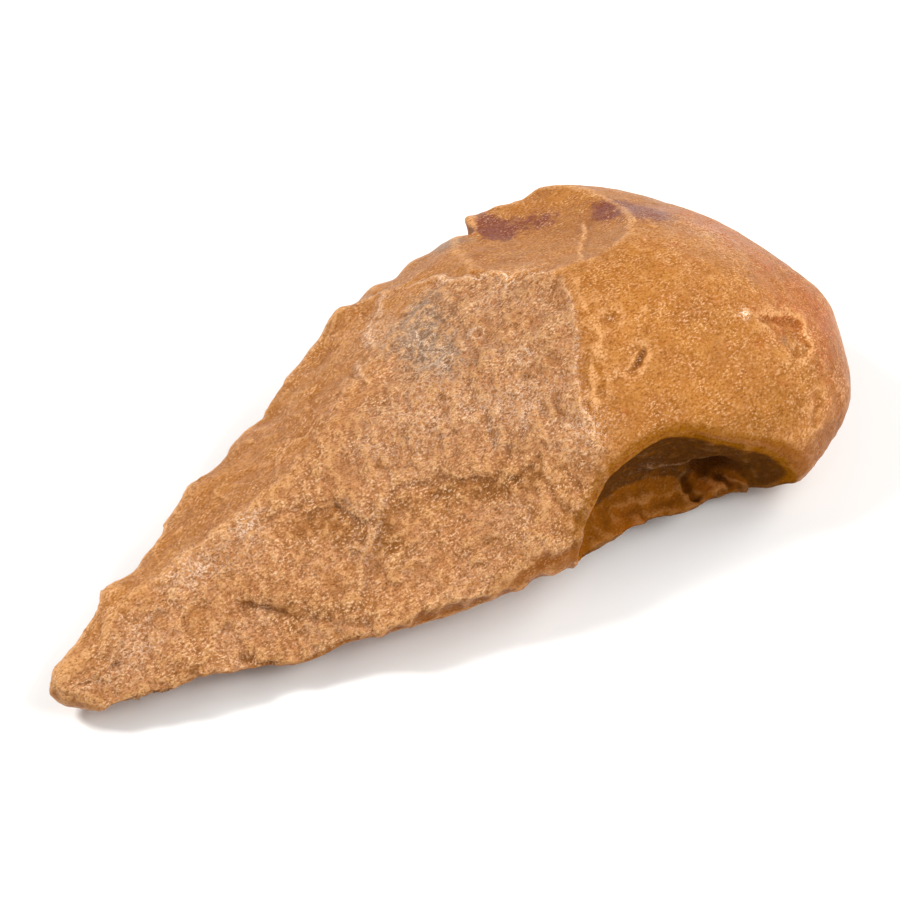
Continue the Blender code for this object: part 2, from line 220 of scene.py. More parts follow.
stone = dict(
    voxel=0.60,  # the skin's quads are this wide
    wear=dict(rounds=2, share=0.25, inHollow=0.35),  # how worn the ridges are, and how much more the hollow
    # relief over the skin and the breaks: noise size and height
    swell=dict(size=20, height=0.45),
    skin=dict(size=6.0, height=0.10),
    breakage=dict(size=7.0, height=0.56),
    crumb=dict(size=1.8, height=0.23),
    nick=dict(size=3.2, height=0.4),
    scallop=dict(size=6.5, height=1.5),
    # hackles: ridged noise drawn out along `along`, less `middle`, and how strong it is where
    hackle=dict(size=2.6, height=0.25, along=(-0.45, -0.85, -0.25), drawn=0.72, middle=0.6),
    hackleOn=dict(nearShoulder=1.0, crown=0.5, rough=0.3),
    # flat chips, and the smaller and weaker ones between them
    chip=dict(size=7.5, slope=0.045, smaller=0.45, weaker=0.8),
    # how far lines and pits stray from their places
    wander=[dict(size=4.5, height=0.9, seed=201), dict(size=1.8, height=0.45, seed=206)],
    pitWander=0.4,
    # roughness of the cobble's skin past the crown's border, above `buttFrom`, and of the underside, where
    # the skin leans over by `underLean`
    buttRough=0.12, buttFrom=12, underRough=0.55, underLean=(0.1, -0.5),
    borderStray=dict(size=2.2, height=0.5, soft=0.3),
    # the lip round the hollow: where the mask of the hollow, spread by `rounds`, lies between the two edges
    lip=dict(rounds=110, outer=(0.07, 0.30), inner=(0.92, 0.66), foot=(6, 9), at=(42, -31, 22),
             radii=(15, 6, 5), smoothRounds=40),
    # behind the point the step has crumbled away
    crumbled=dict(at=(-45, -17, 10), radii=(15, 10, 8), edge=(0.10, 0.45), rounds=180),
    # a rim stands this far proud of a skin smoothed by `rounds`; times its roughness, `knapped` nicks it
    rim=dict(rounds=8, proud=(0.12, 0.5), knapped=1.6),
    restFlat=dict(height=(0.9, 0.1), lean=(-0.8, -0.97)),  # no relief on the flat that the stone lies on
    pullTall=1.6,  # a pull reaches further up and down by this
    walls=[dict(size=7, height=0.5, seed=101), dict(size=2.4, height=0.16, seed=105)],  # lumps in the hollow
    rippleWander=1.6,
    crushed=dict(size=9, strength=0.3, high=0.7),  # pale crushed patches on the rough breaks
    past=0.6,  # how far the relief may stand past the CAD box
    # painted shade on the steep sides and the far rim, and painted light on the hollow's floor, by how far
    # the skin leans
    steep=dict(rounds=6, side=(0.42, 0.05), floor=(0.2, 0.6)),
    rimBand=dict(rounds=30, edge=(0.08, 0.34), facing=(0.2, -0.3), share=0.8),
    # stand-out that gives the full shade, over a skin smoothed by `rounds`
    standFine=dict(rounds=5, full=0.16),
    standBroad=dict(rounds=60, full=1.3),
    # the struck faces: centre, bearing and dip in degrees, hollow radii down and across the dip, and how
    # rough the break is
    struckFaces={
        "farFlank": dict(centre=(-34.6, 14.4, 17.9), turn=(125, 29.1), hollow=(1000, 1000), rough=0.32),
        "crown": dict(centre=(18.1, 6.8, 35.7), turn=(152, 19.5), hollow=(300, 300), rough=1.0),
        "nearShoulder": dict(centre=(3.9, -12.0, 30.8), turn=(-147, 25.2), hollow=(400, 150), rough=1.0),
        "nearFlank": dict(centre=(-32.1, -13.1, 16.2), turn=(-121, 31.3), hollow=(100, 100), rough=0.8),
        "nearBelt": dict(centre=(-10.6, -22.2, 18.3), turn=(-123, 40.2), hollow=(60, 50), rough=0.85),
        "nearCorner": dict(centre=(11.5, -31.5, 21.6), turn=(-103, 57.0), hollow=(80, 50), rough=0.7),
        "pointNear": dict(centre=(-69.5, -8.7, 8.9), turn=(-123, 30.2), hollow=(100, 100), rough=1.0),
        "pointShoulder": dict(centre=(-53.9, -4.8, 14.5), turn=(-127, 27.1), hollow=(100, 100), rough=0.88),
        "pointRear": dict(
            centre=(-42.1, -21.2, 8.7), turn=(-137, 14), hollow=(30, 80), rough=0.9,
            within=dict(at=(-42, -20, 9), radii=(13, 13, 13), least=0.2)),
        "farButt": dict(centre=(38.9, 22.0, 31.3), turn=(86, 23.0), hollow=(150, 60), rough=0.2),
        "farDent": dict(centre=(14.9, 33.1, 25.5), turn=(96, 37.8), hollow=(150, 70), rough=0.55),
    },
    faceTouch=(-1.3, -0.45),  # mm above a face's bowl from which a vertex counts as on it
    # the border between the struck crown and the smoother butt, seen from above
    crownBorder=[
        (8, 40), (13.5, 28), (18.2, 24.4), (17.9, 20.8), (21.5, 15.9), (25, 13.8), (24.6, 9.1), (31.5, 2.2),
        (29.3, -2), (27, -7.4), (24.5, -11.5), (21.8, -15), (17.2, -22.3), (16.8, -25.8), (17, -32),
        (15, -46)
    ],
    # the finger hollow is a drooping ellipsoid, and its mask fades in over `edge`, in mm outside it
    hollow=dict(centre=(32.3, -37.5, 9.9), radii=(24, 12.5, 19.25), turn=-12, droop=0.33, edge=(0.9, 0.2)),
    # ripples run out in rings from where a flake was struck: strike point, ring spacing and height
    ripples={
        "nearFlank": dict(strike=(-40, -28, 8), pitch=3.1, height=0.11),
        "nearBelt": dict(strike=(-12, -37, 9), pitch=2.9, height=0.16),
        "pointNear": dict(strike=(-70, -16, 6), pitch=2.6, height=0.08),
        "nearShoulder": dict(strike=(-6, -34, 14), pitch=4.3, height=0.13),
        "crown": dict(strike=(12, 38, 24), pitch=4.6, height=0.07),
    },
    # steps, fissures and edges: the line, depth (below zero for a raised edge) and width of the slit, how far
    # the side towards `low` drops, and how dark or pale the line is; the dark is painted shade and dirt in
    # the slit
    cracks={
        "rear": dict(
            line=[(-47.5, -7.6, 12), (-45.7, -9.9, 13.2), (-43.2, -12.4, 12.8), (-40.7, -14.9, 12.4),
                  (-34.4, -21.1, 11.8), (-28.8, -26.8, 11.4)],
            deep=0.5, wide=1.0, drop=0.8, low=near, dark=0.4),
        "rearLow": dict(
            line=[(-51.5, -13.6, 9.2), (-49.1, -16.2, 8.7), (-46.4, -18.5, 8.4), (-42.6, -20.5, 8.8)],
            deep=0.6, wide=0.7, drop=0.4, low=near, dark=0.6),
        "rearLow2": dict(
            line=[(-64.1, -15.5, 7.7), (-59.8, -14.5, 9.6), (-55.6, -13.8, 10.9)],
            deep=0.4, wide=0.8, drop=0.4, low=near, dark=0.6),
        "small": dict(
            line=[(-71.8, -4.5, 10.5), (-69.4, -6.4, 10.1), (-66.7, -8.7, 9.9)],
            deep=0.4, wide=0.5, drop=0.2, low=near, dark=0.7),
        "streak": dict(
            line=[(-66.5, -2.7, 12.6), (-63, -3, 13.1), (-59.4, -2.9, 13.8), (-55.7, -3, 14.6)],
            deep=-0.3, wide=0.6, drop=0.3, low=near, pale=0.9),
        "beltLeft": dict(
            line=[(-38.8, -2.5, 20.9), (-34.7, -1.8, 22.3), (-30.2, -3, 22.9), (-25.6, -5.6, 23),
                  (-22.4, -8.7, 22.3)],
            deep=0.2, wide=0.9, drop=0.7, low=near, dark=0.35),
        "belt": dict(
            line=[(-17.8, -11.4, 23.1), (-14.5, -11.4, 24.4), (-10.9, -12.3, 25.3), (-7.2, -14.5, 25.9),
                  (-3.9, -17.7, 26.2), (-0.2, -21.3, 26.1)],
            deep=0.25, wide=1.0, drop=0.8, low=near, dark=0.45),
        "beltDark": dict(
            line=[(0.1, -22.7, 25.4), (3, -23.2, 27.3), (5.5, -23.6, 28.7), (8.8, -23, 30.3)],
            deep=0.6, wide=0.7, drop=0.4, low=near, dark=0.6),
        "beltEnd": dict(
            line=[(8.8, -23, 30.3), (11.6, -26.6, 30), (14.5, -30, 27)],
            deep=0.1, wide=0.8, drop=0.3, low=near, pale=0.5),
        "diagonal": dict(
            line=[(6, -26.6, 27.6), (6.9, -29.8, 23.4), (9.7, -33.8, 17.9)],
            deep=0.4, wide=0.6, drop=0.25, low=left, dark=0.5),
        "diagonal2": dict(
            line=[(9.1, -26.7, 29.1), (11, -29.6, 24.6), (12.3, -32.3, 20.9)],
            deep=0.35, wide=0.6, drop=0.15, low=left, dark=0.4),
        # its pale line is a painted highlight along the ridge
        "ridge": dict(
            line=[(-16.9, -10.1, 24), (-20.4, -12.9, 20.9), (-25.2, -16.6, 16.9), (-29.4, -20.1, 13.6)],
            deep=-0.5, wide=1.1, drop=0.8, low=right, pale=0.3),
        "fissure": dict(
            line=[(13.6, -11.8, 35), (10, -15.6, 32.6), (6.2, -18.9, 30)],
            deep=0.4, wide=0.5, drop=0.35, low=left, pale=0.6, dark=0.3),
        "fissure2": dict(
            line=[(5.1, -8.4, 32.2), (3.6, -12.9, 30.4), (2, -17.2, 28.6)],
            deep=0.4, wide=0.5, drop=0.3, low=left, pale=0.6),
        # its pale line is whitish crushed stone and a painted highlight along the crest
        "crest": dict(
            line=[(13.5, 28, 29), (15.7, 25.8, 30.4), (18.2, 24.4, 31.6), (17.9, 20.8, 33.3),
                  (20.3, 18.4, 34.8), (21.5, 15.9, 35.4), (23.1, 15.9, 35.9), (25, 13.8, 36.8),
                  (25.3, 10.6, 37.4), (24.6, 9.1, 37.4), (27.7, 7.7, 38.8), (29.6, 5.4, 39.9),
                  (31.5, 2.2, 41.2)],
            deep=-0.35, wide=0.8, drop=0.5, low=far, pale=1.2),
        "crownLeft": dict(
            line=[(12.1, 27.9, 28.2), (10.2, 29.4, 26.9), (6.4, 25.7, 27), (3.5, 24.7, 26.3),
                  (0.7, 19.7, 27.5), (-1.1, 16.2, 28.6)],
            deep=-0.25, wide=0.9, drop=0.4, low=(-0.7, 0.7, 0), pale=0.7),
        "farStreak": dict(
            line=[(-3.5, 17.8, 26.9), (-6, 13, 27.7), (-9.1, 8.8, 28.4)],
            deep=-0.2, wide=0.6, drop=0.3, low=left, pale=0.6),
        "skinLine": dict(
            line=[(31.5, 2.2, 41.2), (29.3, -2, 41.2), (27, -7.4, 41.5), (24.5, -11.5, 39.8),
                  (21.8, -15, 37.8), (20.2, -17.7, 36.7), (17.2, -22.3, 34.5), (16.8, -25.8, 32.7),
                  (17.2, -29.2, 28.2)],
            deep=-0.15, wide=0.8, drop=0.4, low=right, pale=0.45),
        "backRidge": dict(
            line=[(51.1, 19.4, 33.4), (44.3, 11.5, 36.3), (36.3, 2.2, 41.4)],
            deep=-0.1, wide=1.2, drop=0.5, low=right, pale=0.15),
        "grooveTop": dict(
            line=[(34.9, -15, 39.9), (37.7, -14.2, 40.3), (39.7, -14.8, 40.1), (36.6, -16.5, 39.4),
                  (34.6, -18.4, 38.5)],
            deep=0.2, wide=0.6, drop=0.15, low=left, dark=0.3),
        "groove": dict(
            line=[(33.8, -19.2, 38.1), (31.2, -21.3, 36.9), (28.4, -22.9, 35.8)],
            deep=0.7, wide=0.6, drop=0.45, low=left, dark=0.9),
        "chip": dict(
            line=[(56.9, -24.1, 35.2), (59.3, -23.2, 35.2), (61.9, -23.2, 34.3), (64.4, -24.2, 32.7),
                  (66.9, -25.8, 30.6)],
            deep=0.35, wide=1.3, drop=0.9, low=(0, -0.9, -0.3), dark=0.3),
        "chipLow": dict(
            line=[(60.1, -29.5, 31), (60.4, -30.7, 30), (61.8, -31.1, 29.3), (65.7, -30.2, 28.5)],
            deep=0.1, wide=1.2, drop=0.6, low=(0, 0.9, 0.3), dark=0.1),
        "dimple": dict(
            line=[(62.4, -36, 23.9), (61, -38, 21.1), (59.5, -39.5, 18)],
            deep=0.4, wide=1.5, drop=0.2, low=left, dark=0.2),
        # its pale line is a painted highlight along the ledge under the lip
        "wallLedge": dict(
            line=[(28, -24.4, 14.6), (32.2, -25.1, 14.2), (36, -25.8, 13.6), (40.8, -28, 15.1),
                  (43.9, -29.2, 13.8)],
            deep=-0.7, wide=0.8, drop=0.3, low=(0, 0, -1), pale=0.2),
        "floorStep": dict(
            line=[(20.5, -27.0, 10.6), (27, -29.0, 9.3), (33, -29.5, 8.8), (37, -29, 8.6)],
            deep=0.2, wide=1.0, drop=0.8, low=near, dark=0.3),
        "floorGap": dict(
            line=[(38.4, -26.2, 9.8), (38.1, -28.7, 8.3), (38.2, -31.5, 7.2), (39.6, -33.2, 6.4)],
            deep=1.6, wide=1.1, drop=0.0, low=near, dark=1.3),
        "lump": dict(
            line=[(42.1, -27.6, 8.8), (42.9, -30.2, 7.2), (43.8, -32.8, 6.1)],
            deep=-1.7, wide=1.8, drop=0.0, low=near),
        "lumpGap": dict(
            line=[(44.2, -27.5, 9.0), (45.0, -30.0, 7.4), (46.3, -32.8, 6.0)],
            deep=0.8, wide=0.9, drop=0.0, low=near, dark=1.3),
        "lumpSmall": dict(
            line=[(45.7, -29.2, 7.8), (47.6, -30.8, 6.5), (48.9, -32.6, 5.6)],
            deep=-1.2, wide=1.4, drop=0.0, low=near),
        "floorCrack": dict(
            line=[(22.1, -28.1, 10.1), (25.5, -29.5, 9.2), (26.4, -31.4, 8.4), (28.2, -32.4, 7.9),
                  (31.5, -32.7, 7.4)],
            deep=0.7, wide=0.6, drop=0.4, low=near, dark=0.8),
    },
    crackReach=3.0,  # the drop beside a crack fades out over this length
    crackEnds=0.12,  # and the crack over this share of its own length at each end
    # pits and lumps as (centre, radii, height, darkness), the darkness being painted shade in the pit
    dents=[
        ((31.2, -12.0, 40.9), (1.9, 1.3, 1.4), -1.1, 0.55), ((62.0, -27.2, 32.4), (4.2, 3.4, 3.4), -1.1, 0),
        ((54.9, -22.0, 36.6), (0.9, 0.7, 0.9), 0.25, 0), ((6, 13, 31.5), (4, 4, 3), -0.45, 0.15),
        ((7.5, 11.6, 32.1), (1.4, 1.4, 1.4), -0.35, 0.2), ((6.1, 2.9, 33.0), (0.9, 0.9, 0.9), -0.3, 0.2),
        ((13.5, 3.9, 34.8), (1.1, 1.1, 1.1), -0.25, 0), ((43.6, -28.2, 11.9), (3.8, 2.8, 3.0), -3.2, 2.2),
        ((50.5, -28.5, 11.5), (5, 3, 4), -0.6, 1.1), ((-28.7, -6.9, 20.9), (9, 4, 3), -0.4, 0.35),
        ((-26.0, -12.3, 18.7), (4, 5, 4), -0.4, 0.35), ((-15.8, -14.0, 22.5), (2.6, 3.5, 3), -0.6, 0.35),
        ((-8.9, -16.2, 24.2), (5, 3, 2), -0.6, 0.4), ((-2.2, -20.9, 24.7), (4, 3, 2), -0.6, 0.4),
        ((-21.0, -17.0, 18.0), (2.4, 5, 4), -0.4, 0.4), ((-38.0, -18.5, 11.0), (6, 5, 3), -0.3, 0.3),
    ],
    # small rings left by blows, as (x, y, z, radius)
    ringChips=[
        (7.5, 11.6, 32.1, 1.7), (6.1, 2.9, 33.0, 1.0), (13.5, 3.9, 34.8, 1.3), (15.5, -7.9, 36.7, 1.4)
    ],
    ring=dict(wide=0.4, height=0.16, pale=0.9),
    # places pulled out of line or back into it, as (centre, reach, move)
    pulls=[
        ((38.6, 38.2, 25.2), 2.0, (-1.2, 1.6, 0.6)), ((34.6, 37.5, 25.0), 2.0, (1.0, -2.4, -0.4)),
        ((22.0, 37.5, 23.5), 3.5, (-0.2, 1.0, 0.7)), ((12.5, 35.5, 22.5), 3.2, (0.0, 1.2, 0.9)),
        ((3.5, 33.5, 22.5), 3.2, (0.0, 1.2, 0.9)), ((-5.6, 28.7, 20.5), 3.5, (0.4, -1.1, -0.7)),
        ((-19.5, 23.3, 17.9), 4, (0.4, -1.3, -0.8)), ((-39.8, 16.7, 14.5), 4, (-0.6, 1.1, 0.6)),
        ((-63.6, 6.1, 11.9), 3.5, (-0.6, 1.5, 0.7)), ((-74.2, 0.1, 11.6), 5.5, (0.5, -1.8, -1.0)),
        ((-78.6, -0.9, 10.3), 4, (0.1, -1.1, -0.9)), ((-82, -3.6, 7.5), 1.2, (0.4, 0.0, 0.1)),
        ((-82.0, -6.4, 5.3), 4, (0.8, 0.4, 0.9)), ((-79.2, -8.7, 4.6), 4, (0.6, 0.6, 1.1)),
        ((-45.3, -19.3, 8), 7, (-0.5, -1.3, -1.2)), ((-52.4, -16.5, 8), 5, (-0.3, -0.5, -0.6)),
        ((-39.2, -21.9, 9), 5, (-0.2, -0.9, -0.9)), ((-20.3, -28.4, 8.5), 4, (0.3, 0.5, 0.6)),
        ((39.3, -34.8, 5.5), 4, (0.2, 1.3, 1.0)), ((42.0, -30.5, 21.0), 9, (-1.2, -1.7, -2.1)),
        ((52.3, -34.9, 7.2), 4.5, (-0.8, -1.3, -1.6)), ((66.6, -38.9, 10.0), 9, (-0.9, 1.5, 0.6)),
        ((63.2, 18.2, 32), 9, (-0.6, -0.6, -1.0)), ((78.0, -19, 24), 7, (1.0, -0.3, 0.3)),
    ],
    # patches of colour as (centre, radii, strength), under the attribute that they add up to
    patches={
        "maroon": [
            ((38.7, 37.8, 25.7), (3.0, 4, 4), 2.0), ((37.0, 39.5, 25), (3, 3, 4), 2.0),
            ((46, 27.5, 29), (5, 5, 4), 1.1), ((37.5, 29, 28.6), (3.0, 4.5, 3), 1.3),
            ((40, 33, 27.5), (5, 4, 4), 1.0), ((56.5, 17, 35.5), (5.5, 6.5, 5), 1.9),
            ((58.5, 8.5, 37.5), (5, 5, 4), 1.3),
        ],
        "grey": [
            ((6, 12, 31.5), (7, 8.5, 5), 1.1), ((29.6, 34.3, 27.1), (4, 4.5, 4), 1.1),
            ((13, 18, 33), (6, 6, 4), 0.7), ((6.1, 2.9, 33), (6, 5, 4), 0.6),
            ((62.2, -28.5, 31.2), (3.4, 2.6, 3), 0.5), ((28, -24.8, 18), (12, 3, 5), 1.0),
        ],
        "blush": [
            ((72, -6, 31.5), (9, 15, 9), 0.65), ((72.5, -26, 25), (8, 12, 9), 1.0),
            ((70.4, -35, 20), (6, 7, 7), 0.8), ((62, -24, 34), (7, 6, 5), 0.7),
            ((66, 8, 34), (7, 9, 5), 0.8), ((50, -2, 38.5), (9, 5, 4), 0.35),
        ],
        "rust": [
            ((42.0, -29.5, 7.8), (2.6, 4, 3), 0.9), ((47.5, -30.5, 7.0), (2.4, 3, 3), 0.6),
            ((23, -30.5, 9), (5, 4, 3), 0.6),
        ],
        # painted shade: darker patches where the near faces fall steeply under their steps, behind the point
        # and on the butt's near side
        "shade": [
            ((-15.8, -13.5, 22.8), (3, 3, 3), 0.8), ((-8.9, -16.2, 24.2), (6, 3, 2.5), 0.9),
            ((-1.5, -21, 24.7), (5, 3, 2.5), 1.0), ((5, -24.5, 27), (4, 3, 3), 0.9),
            ((-20.5, -17.0, 18.5), (2.2, 6, 5), 1.1), ((-30, -7, 20.7), (8, 3.5, 3), 0.8),
            ((-26, -12.3, 18.7), (3.5, 5, 4), 0.7), ((-38, -17, 12), (8, 4, 3), 0.6),
            ((-49, -16.2, 8.7), (4, 3, 2), 0.6), ((72, -32, 19), (7, 10, 9), 1.1),
            ((-60, -13.5, 9.8), (6, 2, 2), 0.6), ((23, -20, 36), (4, 9, 5), 0.5),
        ],
        "pale": [
            ((-51, -1.0, 17), (6, 3, 3.5), 0.9), ((-40.5, -1.0, 21.4), (4, 2.4, 3), 0.7),
            ((-67, -5.3, 11.5), (5, 3.5, 3), 0.55), ((-75.7, -5.6, 8.7), (4, 2, 2), 0.6),
            ((-40.1, -0.4, 21.9), (3, 2, 3), 0.6), ((-8, 0, 30), (9, 3, 5), 0.3),
            ((-6, -7, 28.5), (14, 6, 6), 0.4), ((10, -13, 33), (6, 6, 6), 0.7),
            ((4, 3, 32.5), (9, 7, 5), 0.5), ((3, 22, 27), (5, 6, 4), 0.7), ((6, 12, 31.5), (7, 8, 5), 0.35),
            ((24, 10, 37.5), (8, 3, 3), 0.6), ((15, -26, 32), (5, 5, 4), 0.6),
            ((54.9, -22, 36.6), (1.0, 0.8, 1.0), 3.0), ((64, 0, 36), (12, 10, 6), 0.45),
        ],
    },
)


def faceShares(points):
    # z above the bowl x^2 / 2a + y^2 / 2b of each struck face, with a and b its hollow radii: a vertex
    # belongs to the faces whose bowl it lies on, and to none where it lies under all of them
    shares = {}
    for name, face in stone["struckFaces"].items():
        bearing, dip = (math.radians(a) for a in face["turn"])
        level = np.array([math.cos(bearing), math.sin(bearing), 0])
        up = np.array([0, 0, 1])
        down = math.cos(dip) * level - math.sin(dip) * up
        out = math.sin(dip) * level + math.cos(dip) * up
        side = np.cross(out, down)
        offset = points - np.array(face["centre"])
        x, y, z = offset @ down, offset @ side, offset @ out
        height = z - x ** 2 / (2 * face["hollow"][0]) - y ** 2 / (2 * face["hollow"][1])
        shares[name] = smoothStep(*stone["faceTouch"], height)
        if "within" in face:
            within = face["within"]
            shares[name] *= blob(points, within["at"], within["radii"]) > within["least"]
    total = np.maximum(sum(shares.values()), 1)
    return {name: share / total for name, share in shares.items()}


def beyondBorder(points):
    # mm past the crown's border towards the butt, below zero on the crown
    border = stone["crownBorder"]
    best = np.full(len(points), np.inf)
    side = np.zeros(len(points))
    for start, end in zip(border[:-1], border[1:]):
        step = np.subtract(end, start)
        offset = points[:, :2] - start
        run = np.clip(offset @ step / (step @ step), 0, 1)
        gap = np.linalg.norm(offset - run[:, None] * step, axis=1)
        closer = gap < best
        best[closer] = gap[closer]
        side[closer] = np.sign(step[0] * offset[:, 1] - step[1] * offset[:, 0])[closer]
    return best * side


def hollowDepth(points):
    # mm outside the finger hollow's drooping ellipsoid, below zero within it: (1 - 1 / s) |p|, with s the
    # distance in radii
    hollow = stone["hollow"]
    turn = math.radians(-hollow["turn"])
    offset = points - np.array(hollow["centre"])
    x = offset[:, 0] * math.cos(turn) - offset[:, 1] * math.sin(turn)
    y = offset[:, 0] * math.sin(turn) + offset[:, 1] * math.cos(turn)
    z = offset[:, 2] + np.maximum(x, 0) * hollow["droop"]
    reach = np.stack([x, y, z], axis=1)
    share = np.linalg.norm(reach / hollow["radii"], axis=1)
    return (1 - 1 / np.maximum(share, 0.05)) * np.linalg.norm(reach, axis=1)


def crackFields(points, crack):
    # the slit exp(-(d / wide)^2), and beside it the low side, which fades out as exp(-d / crackReach)
    gap, along = distanceToLine(points, crack["line"])
    ends = smoothStep(0, stone["crackEnds"], along) * smoothStep(0, stone["crackEnds"], 1 - along)
    line = np.array(crack["line"], float)
    lengths = np.linalg.norm(np.diff(line, axis=0), axis=1)
    stops = np.concatenate([[0], np.cumsum(lengths)]) / lengths.sum()
    middle = np.stack([np.interp(along, stops, line[:, k]) for k in range(3)], axis=1)
    low = np.array(crack["low"], float)
    side = (points - middle) @ (low / np.linalg.norm(low))
    slit = np.exp(-(gap / crack["wide"]) ** 2) * ends
    return slit, smoothStep(-0.4, 0.4, side) * np.exp(-gap / stone["crackReach"]) * ends


def breakRoughness(points, shares, under, inHollow):
    # each struck face's own roughness by its share, the cobble's skin past the crown's border, and
    # underneath at least underRough; none in the hollow
    stray = stone["borderStray"]
    offset = stray["height"] * gradientNoise(points, stray["size"], 7)[:, None]
    butt = smoothStep(-stray["soft"], stray["soft"], beyondBorder(points + offset))
    rough = sum(shares[name] * face["rough"] for name, face in stone["struckFaces"].items())
    rough *= 1 - inHollow
    onButt = rough * (1 - butt) + stone["buttRough"] * butt
    rough = np.where(points[:, 2] > stone["buttFrom"], onButt, rough)
    return np.maximum(rough, stone["underRough"] * under * (1 - inHollow))


def lipMask(points, edges, under, inHollow):
    # the band where the spread mask of the hollow lies between its two edges, and the crest of the lip
    lip = stone["lip"]
    spread = evenOut(inHollow, edges, lip["rounds"])
    band = smoothStep(*lip["outer"], spread) * smoothStep(*lip["inner"], spread)
    band *= smoothStep(*lip["foot"], points[:, 2]) * (1 - under * (1 - inHollow))
    return np.maximum(band, blob(points, lip["at"], lip["radii"]) * (1 - inHollow))


def breakRelief(points, shares, rough):
    # swells, lumps, hackles, chips and crumbs as noises of their own sizes, and sine rings round each strike
    swell, skin, breakage, crumb = (stone[name] for name in ("swell", "skin", "breakage", "crumb"))
    relief = swell["height"] * gradientNoise(points, swell["size"], 11)
    relief += skin["height"] * layeredNoise(points, skin["size"], 21) * (1 - 0.5 * rough)
    relief += breakage["height"] * rough * layeredNoise(points, breakage["size"], 31)
    hackle, amount = stone["hackle"], stone["hackleOn"]
    along = np.array(hackle["along"])
    stretched = points - hackle["drawn"] * (points @ along)[:, None] * along
    crests = ridgedNoise(stretched, hackle["size"], 41) - hackle["middle"]
    share = shares["nearShoulder"] * amount["nearShoulder"] + amount["crown"] * shares["crown"]
    relief += hackle["height"] * crests * (share + amount["rough"] * rough)
    chip = stone["chip"]
    relief += chipFacets(points, chip["size"], chip["slope"], 51) * rough
    relief += chipFacets(points, chip["size"] * chip["smaller"], chip["slope"], 52) * rough * chip["weaker"]
    relief += crumb["height"] * rough * layeredNoise(points, crumb["size"], 61, 2)
    for seed, (name, ring) in enumerate(stone["ripples"].items()):
        reach = np.linalg.norm(points - np.array(ring["strike"]), axis=1)
        reach = reach + stone["rippleWander"] * gradientNoise(points, 9, 70 + seed)
        wave = np.sin(reach * math.tau / ring["pitch"]) * (0.6 + 0.8 * gradientNoise(points, 8, 80 + seed))
        relief += ring["height"] * wave * shares[name]
    return relief


def linesAndPits(points):
    # the relief, the darkness (painted shade and dirt in slits and pits) and the paleness of every crack,
    # dent and ring chip
    relief, dark, pale = np.zeros((3, len(points)))
    wander = sum(w["height"] * vectorNoise(points, w["size"], w["seed"]) for w in stone["wander"])
    for crack in stone["cracks"].values():
        slit, lowSide = crackFields(points + wander, crack)
        relief -= crack["deep"] * slit + crack["drop"] * lowSide
        dark = np.maximum(dark, crack.get("dark", 0) * slit)
        pale += crack.get("pale", 0) * slit
    strayed = points + wander * stone["pitWander"]
    for at, radii, height, darkness in stone["dents"]:
        bell = blob(strayed, at, radii)
        relief += height * bell
        dark = np.maximum(dark, darkness * bell)
    ring = stone["ring"]
    for x, y, z, radius in stone["ringChips"]:
        band = np.exp(-((np.linalg.norm(strayed - (x, y, z), axis=1) - radius) / ring["wide"]) ** 2)
        relief += ring["height"] * band
        pale += ring["pale"] * band
    return relief, dark, pale


def rimRelief(points, rim, rough):
    # nicks and scallops where a ridged noise crests along the knapped rims
    knapped = rim * np.clip(rough * stone["rim"]["knapped"], 0, 1)
    nick = np.clip(ridgedNoise(points, stone["nick"]["size"], 91), 0, 1)
    scallop = np.clip(ridgedNoise(points, stone["scallop"]["size"], 95), 0, 1)
    return -(stone["nick"]["height"] * nick + stone["scallop"]["height"] * scallop) * knapped


def standOut(points, edges, normals, stand):
    # 0.5 + d / full, with d how far a vertex stands out from a skin smoothed by its rounds
    proud = np.einsum("ij,ij->i", points - evenOut(points, edges, stand["rounds"]), normals)
    return np.clip(0.5 + proud / stand["full"], 0, 1)


